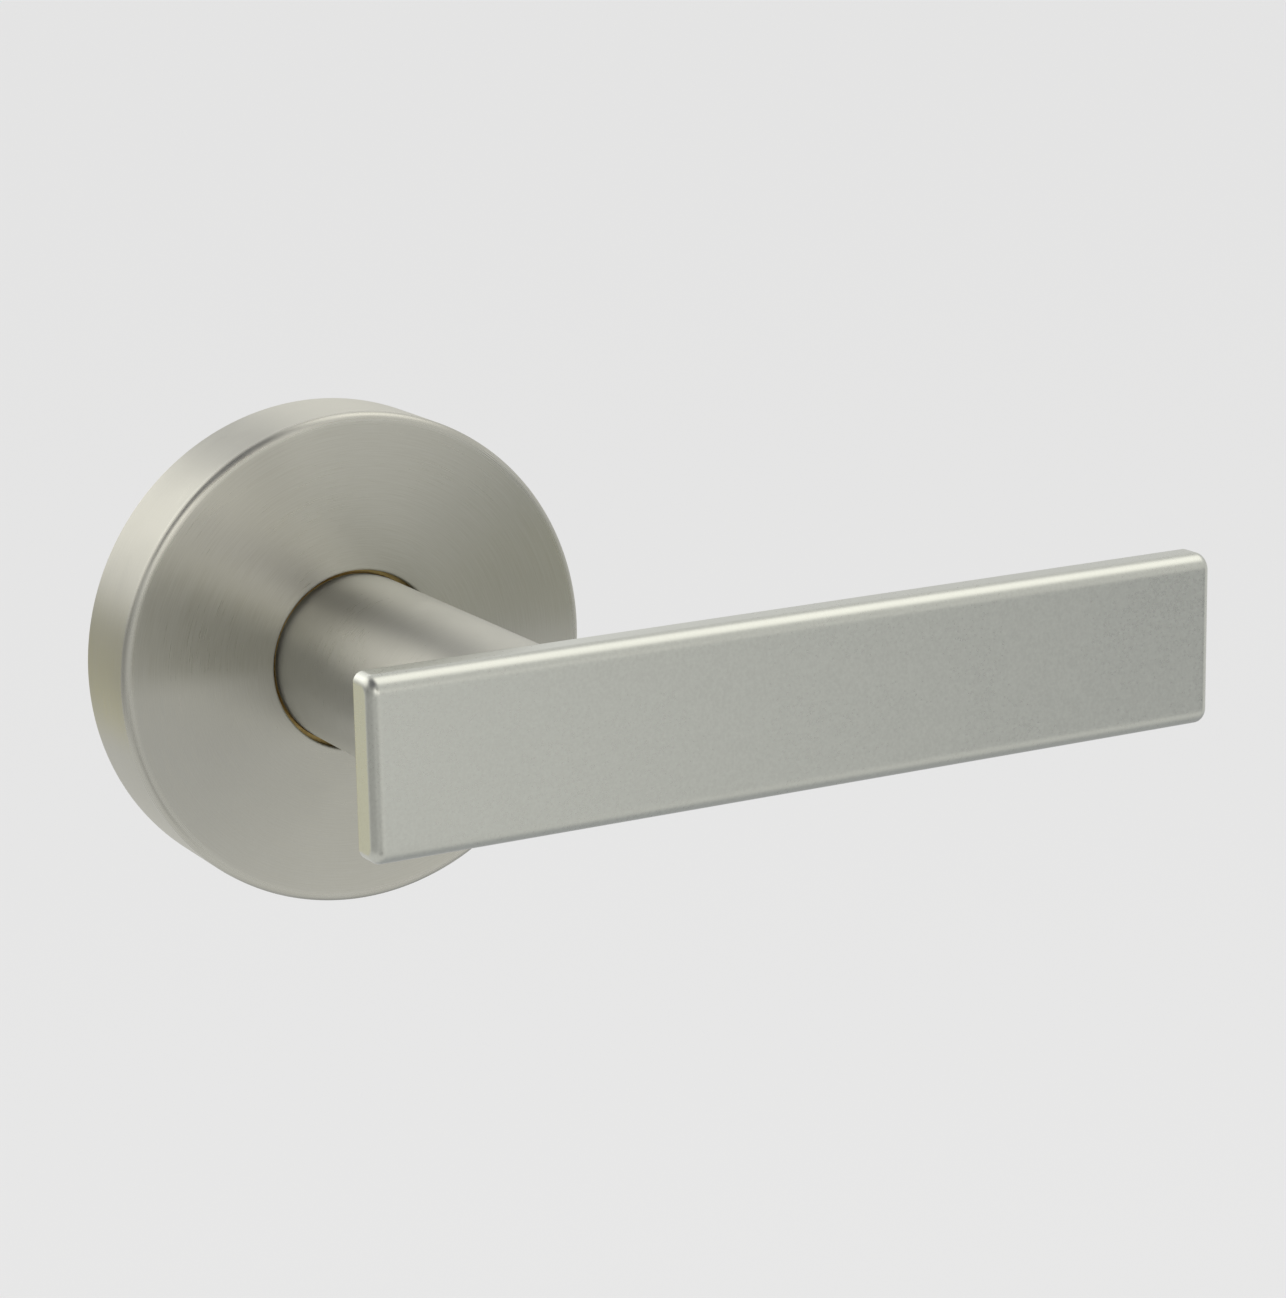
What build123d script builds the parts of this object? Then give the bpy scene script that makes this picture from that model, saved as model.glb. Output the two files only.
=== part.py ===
from build123d import *
import os
from math import asin, cos, degrees, pi, radians, sin, sqrt

# Door lever handle on a round rose, in millimetres.
# The origin is the middle of the rose on the door's face. The lever runs along +X, +Z is up, and the
# spindle lies on Y. Depths are counted out of the door, along -Y, which is how Plane.XZ's offsets run.

# Lever bar
bar_length = 120.4
bar_height = 22.9
bar_thickness = 5.0
bar_overhang = 21.9  # from the spindle's axis to the short end
bar_front_radius = 2.2
bar_back_radius = 0.5
bar_end_radius = 1.4  # less than the front radius
projection = 63.9  # from the door to the bar's front

# Neck, with the spigot that enters the bar and the journal that turns in the base
neck_diameter = 22.6
spigot_diameter = 16.0
spigot_length = 3.0
journal_diameter = 14.6
groove_step = 0.8  # how far the clip's groove is cut into the journal
neck_ring_step = 0.05  # how far the brass ring stands out past the neck
neck_ring_thickness = 0.7

# Rose
rose_diameter = 65.0
rose_depth = 12.6
rose_wall = 1.0
rose_edge_radius = 1.2
rose_hole_edge_radius = 0.3
rose_hole_gap = 0.6  # all round the neck
rose_gap = 0.3  # between the rose's inside and the base's rim

# Base, with its boss and the pocket behind it
base_thickness = 4.5
boss_height = 3.7
boss_wall = 1.6
recess_diameter = 21.8
recess_depth = 2.6
base_edge = 0.4

# Bush and washers
bush_wall = 1.5
bush_flange_thickness = 1.0
running_clearance = 0.04  # radial, between the journal and the bush
thrust_thickness = 0.4
washer_clearance = 0.3  # radial, between the washers and the journal
shim_diameter = 20.0
shim_thickness = 0.5
axial_play = 0.1
clip_thickness = 1.0
clip_band = 2.5
clip_lip = 0.8  # left of the journal behind the clip
clip_opening = 4.4
clip_ear_radius = 1.4
clip_eye_radius = 0.6

# Return spring, its finger and its pins
wire_diameter = 1.4
spring_turns = 1.5
spring_pitch = 2.1
spring_boss_gap = 0.65
leg_length = 1.5
leg_gap = 0.05
finger_width = 3.1
drive_plate_thickness = 1.0
finger_lift = 0.6  # between the finger's tip and the base
lever_travel = 45.0
pin_diameter = 2.5
pin_root = 3.0
pin_stand = 2.9
stop_gap = 0.1
dowel_diameter = 2.5
dowel_spacing = 18.8
dowel_root = 4.0

# Spindle and its set screw
spindle_size = 8.0
spindle_gap = 0.05
spindle_edge = 0.5
spindle_inside = 36.0  # in front of the door's face
spindle_reach = 45.0  # behind the door's face
spindle_end_gap = 1.0
set_screw_diameter = 5.0
set_screw_depth = 22.0
set_screw_sunk = 0.5
set_screw_tip = 0.8
set_screw_socket = 2.5
set_screw_socket_depth = 3.0

# Machine screws through the door, with their spring washers
bolt_spacing = 38.0
bolt_diameter = 5.0
bolt_shank_diameter = 4.6
bolt_hole_diameter = 5.6
bolt_head_diameter = 9.2
bolt_head_height = 3.3
bolt_head_edge = 1.2
bolt_reach = 28.0
bolt_tip = 0.8
lock_washer_diameter = 8.6
lock_washer_thickness = 1.1
lock_washer_slit = 0.8
cross_width = 1.2
cross_length = 4.6
cross_depth = 1.6

# Countersunk wood screws
wood_screw_spacing = 48.0
wood_screw_diameter = 3.2
wood_screw_hole_diameter = 4.0
wood_screw_sink_diameter = 7.6
wood_screw_head_diameter = 7.2
wood_screw_reach = 18.0
wood_screw_point = 4.0
wood_cross_length = 3.4

# Snap ring that holds the rose
snap_wire_diameter = 1.0
snap_opening_angle = 10.0
snap_side_gap = 0.05
snap_crush_room = 0.45
snap_groove_gap = 0.3

# Radii and depths that follow from the sizes above
neck_radius = neck_diameter / 2
journal_radius = journal_diameter / 2
rose_radius = rose_diameter / 2
rose_inner_radius = rose_radius - rose_wall
rose_hole_radius = neck_radius + rose_hole_gap
base_radius = rose_inner_radius - rose_gap
bush_bore_radius = journal_radius + running_clearance
bush_radius = journal_radius + bush_wall
boss_radius = bush_radius + boss_wall
washer_bore_radius = journal_radius + washer_clearance
boss_end = base_thickness + boss_height
flange_end = boss_end + bush_flange_thickness
thrust_end = flange_end + thrust_thickness
drive_depth = thrust_end + axial_play
drive_end = drive_depth + drive_plate_thickness
shoulder_depth = drive_end + neck_ring_thickness
bar_back = projection - bar_thickness
shim_depth = recess_depth - axial_play - shim_thickness
clip_depth = shim_depth - clip_thickness
journal_end = clip_depth - clip_lip
wire_radius = wire_diameter / 2
coil_radius = boss_radius + spring_boss_gap + wire_radius
bend_radius = finger_width / 2 + wire_radius + leg_gap
spring_start = (base_thickness + drive_depth - spring_turns * spring_pitch) / 2
finger_inner_radius = coil_radius + bend_radius
finger_middle_radius = finger_inner_radius + drive_plate_thickness / 2
finger_outer_radius = finger_inner_radius + drive_plate_thickness
finger_angle = 90 + lever_travel / 2
anchor_angle = finger_angle + 360 * spring_turns
pin_radius = pin_diameter / 2
pin_depth = base_thickness - pin_root
pin_length = pin_root + pin_stand
stop_offset = finger_width / 2 + pin_radius + stop_gap
stop_angle = lever_travel / 2 + degrees(asin(stop_offset / finger_middle_radius))
anchor_offset = bend_radius - wire_radius - pin_radius - leg_gap
snap_depth = base_thickness / 2
snap_wire_radius = snap_wire_diameter / 2
bolt_head_depth = base_thickness + lock_washer_thickness
wood_head_sunk = (wood_screw_sink_diameter - wood_screw_head_diameter) / 2
wood_head_depth = base_thickness - wood_head_sunk

# Half-sections are drawn on this plane as (radius, depth) and turned about the spindle's axis.
section = Plane(origin=(0, 0, 0), x_dir=(1, 0, 0), z_dir=(0, 0, -1))


def pin_places(radius, angles, offset=0):
    """Points on the door's plane at a radius and each angle, moved sideways by an offset."""
    return [Vector(radius, offset).rotate(Axis.Z, angle) for angle in angles]


stop_places = pin_places(finger_middle_radius, (90 - stop_angle, 90 + stop_angle))
anchor_places = pin_places(finger_middle_radius, (anchor_angle,), anchor_offset)

os.makedirs("parts", exist_ok=True)


# Lever bar: flat bar, its long front edges well rounded, its ends rounded less and its back edges eased.
# A blind bore behind takes the neck's spigot.
with BuildPart() as lever_bar:
    with BuildSketch(Plane.XZ.offset(bar_back)):
        with Locations((bar_length / 2 - bar_overhang, 0)):
            Rectangle(bar_length, bar_height)
    extrude(amount=bar_thickness)
    fillet(faces().sort_by(Axis.Y)[0].edges().filter_by(Axis.X), bar_front_radius)
    fillet(faces().sort_by(Axis.Y)[0].edges().filter_by(Axis.Z), bar_end_radius)
    fillet(faces().sort_by(Axis.Y)[-1].edges(), bar_back_radius)
    with BuildSketch(Plane.XZ.offset(bar_back)):
        Circle(spigot_diameter / 2)
    extrude(amount=spigot_length, mode=Mode.SUBTRACT)
lever_bar.part.label = "lever_bar"
export_step(lever_bar.part, "parts/lever_bar.step")


# Neck: turned in one piece, then broached for the spindle, drilled for the dowels and the set screw
with BuildPart() as lever_neck:
    with BuildSketch(section):
        with BuildLine():
            Polyline(
                (0, journal_end),
                (journal_radius, journal_end),
                (journal_radius, clip_depth),
                (journal_radius - groove_step, clip_depth),
                (journal_radius - groove_step, shim_depth),
                (journal_radius, shim_depth),
                (journal_radius, shoulder_depth),
                (neck_radius, shoulder_depth),
                (neck_radius, bar_back),
                (spigot_diameter / 2, bar_back),
                (spigot_diameter / 2, bar_back + spigot_length),
                (0, bar_back + spigot_length),
                close=True,
            )
        make_face()
    revolve(axis=Axis.Y)
    with BuildSketch(Plane.XZ.offset(journal_end)):
        Rectangle(spindle_size + 2 * spindle_gap, spindle_size + 2 * spindle_gap)
    extrude(amount=spindle_inside + spindle_end_gap - journal_end, mode=Mode.SUBTRACT)
    with BuildSketch(Plane.XZ.offset(shoulder_depth)):
        with GridLocations(dowel_spacing, 0, 2, 1):
            Circle(dowel_diameter / 2)
    extrude(amount=dowel_root, mode=Mode.SUBTRACT)
    with BuildSketch(Plane.XY):
        with Locations((0, -set_screw_depth)):
            Circle(set_screw_diameter / 2)
    extrude(amount=-neck_radius, mode=Mode.SUBTRACT)
lever_neck.part.label = "lever_neck"
export_step(lever_neck.part, "parts/lever_neck.step")


# Brass ring between the neck's shoulder and the drive plate
with BuildPart() as neck_ring:
    with BuildSketch(Plane.XZ.offset(drive_end)):
        Circle(neck_radius + neck_ring_step)
        Circle(journal_radius, mode=Mode.SUBTRACT)
        with GridLocations(dowel_spacing, 0, 2, 1):
            Circle(dowel_diameter / 2, mode=Mode.SUBTRACT)
    extrude(amount=neck_ring_thickness)
neck_ring.part.label = "neck_ring"
export_step(neck_ring.part, "parts/neck_ring.step")


# Rose: drawn cup with a hole for the neck and a shallow groove inside for the snap ring
with BuildPart() as rose_cover:
    with BuildSketch(section):
        with BuildLine():
            Polyline(
                (rose_hole_radius, rose_depth),
                (rose_radius, rose_depth),
                (rose_radius, 0),
                (rose_inner_radius, 0),
                (rose_inner_radius, rose_depth - rose_wall),
                (rose_hole_radius, rose_depth - rose_wall),
                close=True,
            )
        make_face()
        with Locations((base_radius, snap_depth)):
            Circle(snap_wire_radius + snap_groove_gap, mode=Mode.SUBTRACT)
    revolve(axis=Axis.Y)
    front_edges = faces().sort_by(Axis.Y)[0].edges().sort_by(SortBy.RADIUS)
    fillet(front_edges[-1], rose_edge_radius)
    front_edges = faces().sort_by(Axis.Y)[0].edges().sort_by(SortBy.RADIUS)
    fillet(front_edges[0], rose_hole_edge_radius)
rose_cover.part.label = "rose_cover"
export_step(rose_cover.part, "parts/rose_cover.step")


# Base: die-cast disc with a boss, a pocket behind for the clip, screw holes, pin holes and a rim groove
with BuildPart() as base_plate:
    with BuildSketch(Plane.XZ):
        Circle(base_radius)
    extrude(amount=base_thickness)
    chamfer(edges().group_by(Axis.Y)[0], base_edge)
    with BuildSketch(Plane.XZ.offset(base_thickness)):
        Circle(boss_radius)
    extrude(amount=boss_height)
    with BuildSketch(Plane.XZ):
        Circle(bush_radius)
        with GridLocations(bolt_spacing, 0, 2, 1):
            Circle(bolt_hole_diameter / 2)
    extrude(amount=boss_end, mode=Mode.SUBTRACT)
    with BuildSketch(Plane.XZ):
        Circle(recess_diameter / 2)
    extrude(amount=recess_depth, mode=Mode.SUBTRACT)
    with BuildSketch(Plane.XZ.offset(pin_depth)):
        with Locations(*stop_places, *anchor_places):
            Circle(pin_radius)
    extrude(amount=pin_root, mode=Mode.SUBTRACT)
    with Locations(Plane.XZ.offset(base_thickness)):
        with GridLocations(0, wood_screw_spacing, 1, 2):
            CounterSinkHole(
                wood_screw_hole_diameter / 2,
                wood_screw_sink_diameter / 2,
                counter_sink_angle=90,
            )
    with BuildSketch(section):
        with Locations((base_radius, snap_depth)):
            Rectangle(
                2 * (snap_wire_radius + snap_crush_room),
                2 * (snap_wire_radius + snap_side_gap),
            )
    revolve(axis=Axis.Y, mode=Mode.SUBTRACT)
base_plate.part.label = "base_plate"
export_step(base_plate.part, "parts/base_plate.step")


# Bush: flanged bronze sleeve pressed into the boss
with BuildPart() as bearing_bush:
    with BuildSketch(section):
        with BuildLine():
            Polyline(
                (bush_bore_radius, recess_depth),
                (bush_radius, recess_depth),
                (bush_radius, boss_end),
                (boss_radius, boss_end),
                (boss_radius, flange_end),
                (bush_bore_radius, flange_end),
                close=True,
            )
        make_face()
    revolve(axis=Axis.Y)
bearing_bush.part.label = "bearing_bush"
export_step(bearing_bush.part, "parts/bearing_bush.step")


# Thrust washer on the bush's flange
with BuildPart() as thrust_washer:
    with BuildSketch(Plane.XZ.offset(flange_end)):
        Circle(boss_radius)
        Circle(washer_bore_radius, mode=Mode.SUBTRACT)
    extrude(amount=thrust_thickness)
thrust_washer.part.label = "thrust_washer"
export_step(thrust_washer.part, "parts/thrust_washer.step")


# Return spring: torsion spring round the boss, one leg on the anchor pin and one on the drive plate's finger
def coil_angle(turns):
    """The coil's angle in radians after a number of turns, counted from +X towards +Z."""
    return radians(anchor_angle - 360 * turns)


def coil_point(turns):
    """A point on the coil's centre line."""
    angle = coil_angle(turns)
    return Vector(coil_radius * cos(angle), -spring_start - spring_pitch * turns, coil_radius * sin(angle))


def coil_direction(turns):
    """The way the wire runs at that point."""
    angle = coil_angle(turns)
    round_step = 2 * pi * coil_radius
    return Vector(round_step * sin(angle), -spring_pitch, -round_step * cos(angle)).normalized()


def outward(turns):
    """The way out from the spindle's axis at that point."""
    angle = coil_angle(turns)
    return Vector(cos(angle), 0, sin(angle))


def biarc_middle(turns, step):
    """Where two arcs meet that join the coil's points and directions at both ends of a step."""
    start, end = coil_point(turns), coil_point(turns + step)
    leaving, arriving = coil_direction(turns), coil_direction(turns + step)
    across = end - start
    along = across.dot(leaving + arriving)
    bend = 2 * (1 - leaving.dot(arriving))
    reach = (sqrt(along**2 + bend * across.dot(across)) - along) / bend
    return (start + end + (leaving - arriving) * reach) * 0.5


quarter = 0.25
quarter_count = round(spring_turns / quarter)
first_bend = coil_point(0) + (outward(0) - coil_direction(0)) * bend_radius
last_bend = coil_point(spring_turns) + (outward(spring_turns) + coil_direction(spring_turns)) * bend_radius
first_tip = first_bend + outward(0) * leg_length
last_tip = last_bend + outward(spring_turns) * leg_length

with BuildPart() as return_spring:
    with BuildLine() as wire_path:
        Line(first_tip, first_bend)
        TangentArc(first_bend, coil_point(0), tangent=-outward(0))
        for index in range(quarter_count):
            turns = index * quarter
            half = TangentArc(coil_point(turns), biarc_middle(turns, quarter), tangent=coil_direction(turns))
            TangentArc(half @ 1, coil_point(turns + quarter), tangent=half % 1)
        TangentArc(coil_point(spring_turns), last_bend, tangent=coil_direction(spring_turns))
        Line(last_bend, last_tip)
    with BuildSketch(Plane(origin=first_tip, z_dir=-outward(0))):
        Circle(wire_radius)
    sweep(path=wire_path.line)
return_spring.part.label = "return_spring"
export_step(return_spring.part, "parts/return_spring.step")

sample_count = 400
centre_line = wire_path.wire()
samples = [centre_line @ (index / sample_count) for index in range(sample_count + 1)]
spacing = centre_line.length / sample_count
apart = round(2 * bend_radius / spacing) + round(pi * wire_diameter / spacing)
self_gap = min(
    (samples[i] - samples[j]).length for i in range(sample_count) for j in range(i + apart, sample_count + 1)
)
print(f"spring's least gap to itself: {self_gap - wire_diameter:.2f} mm")


# Stop pins: two steel pins in the base that end the finger's travel
with BuildPart() as stop_pins:
    with BuildSketch(Plane.XZ.offset(pin_depth)):
        with Locations(*stop_places):
            Circle(pin_radius)
    extrude(amount=pin_length)
stop_pins.part.label = "stop_pins"
export_step(stop_pins.part, "parts/stop_pins.step")


# Anchor pin: steel pin in the base that holds the spring's fixed leg
with BuildPart() as spring_anchor_pin:
    with BuildSketch(Plane.XZ.offset(pin_depth)):
        with Locations(*anchor_places):
            Circle(pin_radius)
    extrude(amount=pin_length)
spring_anchor_pin.part.label = "spring_anchor_pin"
export_step(spring_anchor_pin.part, "parts/spring_anchor_pin.step")


# Snap ring: split wire ring in the base's rim groove, sprung into the rose's groove
with BuildPart() as cover_snap_ring:
    with BuildSketch(section):
        with Locations((base_radius, snap_depth)):
            Circle(snap_wire_radius)
    revolve(axis=Axis.Y, revolution_arc=360 - snap_opening_angle)
cover_snap_ring.part.label = "cover_snap_ring"
export_step(cover_snap_ring.part, "parts/cover_snap_ring.step")


# Mounting screws: two pan-head machine screws, rolled thread on a thinner shank, threads left plain
bolt_axis = Axis((bolt_spacing / 2, 0, 0), (0, 1, 0))
bolt_section = Plane(origin=(bolt_spacing / 2, 0, 0), x_dir=(1, 0, 0), z_dir=(0, 0, -1))
with BuildPart() as mounting_screws:
    with BuildSketch(bolt_section):
        with BuildLine():
            Polyline(
                (0, -bolt_reach),
                (bolt_diameter / 2 - bolt_tip, -bolt_reach),
                (bolt_diameter / 2, -bolt_reach + bolt_tip),
                (bolt_diameter / 2, 0),
                (bolt_shank_diameter / 2, 0),
                (bolt_shank_diameter / 2, bolt_head_depth),
                (bolt_head_diameter / 2, bolt_head_depth),
                (bolt_head_diameter / 2, bolt_head_depth + bolt_head_height),
                (0, bolt_head_depth + bolt_head_height),
                close=True,
            )
        make_face()
    revolve(axis=bolt_axis)
    fillet(edges().group_by(Axis.Y)[0], bolt_head_edge)
    with BuildSketch(Plane.XZ.offset(bolt_head_depth + bolt_head_height)):
        with Locations((bolt_spacing / 2, 0)):
            Rectangle(cross_length, cross_width)
            Rectangle(cross_width, cross_length)
    extrude(amount=-cross_depth, mode=Mode.SUBTRACT)
    mirror(about=Plane.YZ)
mounting_screws.part.label = "mounting_screws"
export_step(mounting_screws.part, "parts/mounting_screws.step")


# Lock washers: split spring washers under the machine screws' heads
with BuildPart() as lock_washers:
    with BuildSketch(Plane.XZ.offset(base_thickness)):
        with GridLocations(bolt_spacing, 0, 2, 1):
            Circle(lock_washer_diameter / 2)
            Circle(bolt_hole_diameter / 2, mode=Mode.SUBTRACT)
            with Locations((0, lock_washer_diameter / 2)):
                Rectangle(lock_washer_slit, lock_washer_diameter, mode=Mode.SUBTRACT)
    extrude(amount=lock_washer_thickness)
lock_washers.part.label = "lock_washers"
export_step(lock_washers.part, "parts/lock_washers.step")


# Wood screws: two countersunk screws into the door's face, threads left plain
wood_axis = Axis((0, 0, wood_screw_spacing / 2), (0, 1, 0))
wood_section = Plane(origin=(0, 0, wood_screw_spacing / 2), x_dir=(1, 0, 0), z_dir=(0, 0, -1))
wood_cone_depth = wood_head_depth - (wood_screw_head_diameter - wood_screw_diameter) / 2
with BuildPart() as wood_screws:
    with BuildSketch(wood_section):
        with BuildLine():
            Polyline(
                (0, -wood_screw_reach),
                (wood_screw_diameter / 2, -wood_screw_reach + wood_screw_point),
                (wood_screw_diameter / 2, wood_cone_depth),
                (wood_screw_head_diameter / 2, wood_head_depth),
                (0, wood_head_depth),
                close=True,
            )
        make_face()
    revolve(axis=wood_axis)
    with BuildSketch(Plane.XZ.offset(wood_head_depth)):
        with Locations((0, wood_screw_spacing / 2)):
            Rectangle(wood_cross_length, cross_width)
            Rectangle(cross_width, wood_cross_length)
    extrude(amount=-cross_depth, mode=Mode.SUBTRACT)
    mirror(about=Plane.XY)
wood_screws.part.label = "wood_screws"
export_step(wood_screws.part, "parts/wood_screws.step")


# Drive plate: pressed disc under the brass ring, with one finger bent back past the spring
with BuildPart() as drive_plate:
    with BuildSketch(Plane.XZ.offset(drive_depth)):
        Circle(coil_radius + wire_radius)
        with Locations(Location((0, 0, 0), finger_angle)):
            with Locations((finger_outer_radius / 2, 0)):
                Rectangle(finger_outer_radius, finger_width)
        Circle(journal_radius, mode=Mode.SUBTRACT)
        with GridLocations(dowel_spacing, 0, 2, 1):
            Circle(dowel_diameter / 2, mode=Mode.SUBTRACT)
    extrude(amount=drive_plate_thickness)
    with BuildSketch(Plane.XZ.offset(base_thickness + finger_lift)):
        with Locations(Location((0, 0, 0), finger_angle)):
            with Locations((finger_middle_radius, 0)):
                Rectangle(drive_plate_thickness, finger_width)
    extrude(amount=drive_end - base_thickness - finger_lift)
drive_plate.part.label = "drive_plate"
export_step(drive_plate.part, "parts/drive_plate.step")


# Drive pins: two dowels through the drive plate and the brass ring into the neck
with BuildPart() as drive_pins:
    with BuildSketch(Plane.XZ.offset(drive_depth)):
        with GridLocations(dowel_spacing, 0, 2, 1):
            Circle(dowel_diameter / 2)
    extrude(amount=shoulder_depth + dowel_root - drive_depth)
drive_pins.part.label = "drive_pins"
export_step(drive_pins.part, "parts/drive_pins.step")


# Spindle: square bar from inside the neck, through the door
with BuildPart() as spindle:
    with BuildSketch(Plane.XZ.offset(-spindle_reach)):
        Rectangle(spindle_size, spindle_size)
    extrude(amount=spindle_reach + spindle_inside)
    chamfer(edges().filter_by(Axis.Y), spindle_edge)
spindle.part.label = "spindle"
export_step(spindle.part, "parts/spindle.step")


# Set screw: hexagon-socket screw from under the neck, its tip on the spindle
with BuildPart() as set_screw:
    with BuildSketch(Plane.XY.offset(-spindle_size / 2)):
        with Locations((0, -set_screw_depth)):
            Circle(set_screw_diameter / 2)
    extrude(amount=-(neck_radius - set_screw_sunk - spindle_size / 2))
    chamfer(edges().group_by(Axis.Z)[-1], set_screw_tip)
    with BuildSketch(Plane.XY.offset(set_screw_sunk - neck_radius)):
        with Locations((0, -set_screw_depth)):
            RegularPolygon(set_screw_socket / 2, 6, major_radius=False)
    extrude(amount=set_screw_socket_depth, mode=Mode.SUBTRACT)
set_screw.part.label = "set_screw"
export_step(set_screw.part, "parts/set_screw.step")


# Shim washer behind the bush
with BuildPart() as shim_washer:
    with BuildSketch(Plane.XZ.offset(shim_depth)):
        Circle(shim_diameter / 2)
        Circle(journal_radius, mode=Mode.SUBTRACT)
    extrude(amount=shim_thickness)
shim_washer.part.label = "shim_washer"
export_step(shim_washer.part, "parts/shim_washer.step")


# Retaining ring: circlip in the journal's groove, with an eye in each ear
clip_inner_radius = journal_radius - groove_step
ear_x = clip_opening / 2 + clip_ear_radius
ear_z = journal_radius + clip_ear_radius / 2
with BuildPart() as retaining_ring:
    with BuildSketch(Plane.XZ.offset(clip_depth)):
        Circle(clip_inner_radius + clip_band)
        with Locations((0, journal_radius)):
            Rectangle(clip_opening, journal_diameter, mode=Mode.SUBTRACT)
        with Locations((-ear_x, ear_z), (ear_x, ear_z)):
            Circle(clip_ear_radius)
            Circle(clip_eye_radius, mode=Mode.SUBTRACT)
        Circle(clip_inner_radius, mode=Mode.SUBTRACT)
    extrude(amount=clip_thickness)
retaining_ring.part.label = "retaining_ring"
export_step(retaining_ring.part, "parts/retaining_ring.step")
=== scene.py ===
import math

import bmesh
import bpy
import numpy as np
from mathutils import Matrix, Vector


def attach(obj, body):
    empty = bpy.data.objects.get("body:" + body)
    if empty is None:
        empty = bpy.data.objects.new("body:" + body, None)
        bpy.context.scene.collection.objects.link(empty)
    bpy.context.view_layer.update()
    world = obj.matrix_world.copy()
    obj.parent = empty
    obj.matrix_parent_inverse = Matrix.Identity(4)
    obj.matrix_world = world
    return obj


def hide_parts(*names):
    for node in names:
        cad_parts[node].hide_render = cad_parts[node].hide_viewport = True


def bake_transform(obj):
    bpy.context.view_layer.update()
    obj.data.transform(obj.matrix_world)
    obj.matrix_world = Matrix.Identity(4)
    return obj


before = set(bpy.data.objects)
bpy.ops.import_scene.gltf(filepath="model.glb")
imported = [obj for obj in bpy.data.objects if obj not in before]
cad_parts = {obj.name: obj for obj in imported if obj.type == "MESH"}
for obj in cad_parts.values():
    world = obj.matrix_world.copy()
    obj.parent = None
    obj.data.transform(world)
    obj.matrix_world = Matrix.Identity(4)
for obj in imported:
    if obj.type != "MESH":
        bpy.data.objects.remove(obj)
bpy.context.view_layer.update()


# Base plate: the round plate that is screwed to the door and carries everything else, die-cast in zinc
# with its boss, its pocket and its holes. The cast shape stays as it was built, with its edges eased
# as they leave the die, and a dull, faintly mottled skin.
MM = 0.001  # sizes below are in millimetres, and times MM they are in metres
same_point = 1e-7  # metres within which points are merged
flat_angle, edge_angle, edge_steps = 0.4, 40, 2


def placed(mesh, node, material, sharp_angle=35):
    """Puts a mesh in the scene as the piece that stands for a node. Edges past the angle stay sharp."""
    mesh.materials.clear()
    mesh.materials.append(material)
    mesh.shade_smooth()
    mesh.set_sharp_from_angle(angle=math.radians(sharp_angle))
    piece = bpy.data.objects.new(node + "_finish", mesh)
    bpy.context.scene.collection.objects.link(piece)
    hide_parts(node)
    return piece


def finished(mesh, node, body, material, sharp_angle=35):
    """A placed piece that rides on its node's body."""
    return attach(placed(mesh, node, material, sharp_angle), body)


def merged_copy(node):
    """A copy of a node's mesh with its loose triangles joined and its flat areas made whole."""
    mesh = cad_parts[node].data.copy()
    mesh.name = node + "_finish"
    shell = bmesh.new()
    shell.from_mesh(mesh)
    bmesh.ops.remove_doubles(shell, verts=shell.verts, dist=same_point)
    bmesh.ops.dissolve_limit(
        shell, angle_limit=math.radians(flat_angle), verts=shell.verts, edges=shell.edges
    )
    shell.to_mesh(mesh)
    shell.free()
    return mesh


def ease_edges(piece, width):
    """Breaks a piece's sharp edges by a width in millimetres."""
    bevel = piece.modifiers.new("eased_edges", "BEVEL")
    bevel.width = width * MM
    bevel.segments = edge_steps
    bevel.limit_method = "ANGLE"
    bevel.angle_limit = math.radians(edge_angle)
    bevel.harden_normals = True


def new_finish(name, metallic=1.0):
    """A new material of one shader, a metal unless told otherwise: the material, its node tree, the shader."""
    material = bpy.data.materials.new(name)
    material.use_nodes = True
    tree = material.node_tree
    shader = tree.nodes["Principled BSDF"]
    shader.inputs["Metallic"].default_value = metallic
    return material, tree, shader


def even_grain(tree, scale, detail=4.0):
    """Noise with no direction, as many features to the metre as the scale says."""
    place = tree.nodes.new("ShaderNodeTexCoord")
    noise = tree.nodes.new("ShaderNodeTexNoise")
    noise.inputs["Scale"].default_value = scale
    noise.inputs["Detail"].default_value = detail
    tree.links.new(place.outputs["Object"], noise.inputs["Vector"])
    return noise.outputs["Fac"]


def spread(tree, value, low, high, start=0.3, end=0.7):
    """Maps a value between start and end onto low to high."""
    span = tree.nodes.new("ShaderNodeMapRange")
    span.inputs["From Min"].default_value = start
    span.inputs["From Max"].default_value = end
    span.inputs["To Min"].default_value = low
    span.inputs["To Max"].default_value = high
    tree.links.new(value, span.inputs["Value"])
    return span.outputs["Result"]


def tint(tree, shader, value, dark, light, start=0.35, end=0.65):
    """Colours the shader from dark to light by a noise value."""
    ramp = tree.nodes.new("ShaderNodeValToRGB")
    ramp.color_ramp.elements[0].position = start
    ramp.color_ramp.elements[1].position = end
    ramp.color_ramp.elements[0].color = (*dark, 1)
    ramp.color_ramp.elements[1].color = (*light, 1)
    tree.links.new(value, ramp.inputs["Fac"])
    tree.links.new(ramp.outputs["Color"], shader.inputs["Base Color"])


def roughen(tree, shader, grain, low, high, smudge_scale, smudge):
    """Roughness from low to high by the grain, plus slow smudges of plus or minus an amount."""
    slow = even_grain(tree, smudge_scale, 2.0)
    total = tree.nodes.new("ShaderNodeMath")
    total.operation = "ADD"
    tree.links.new(spread(tree, grain, low, high), total.inputs[0])
    tree.links.new(spread(tree, slow, -smudge, smudge), total.inputs[1])
    tree.links.new(total.outputs["Value"], shader.inputs["Roughness"])


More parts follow.
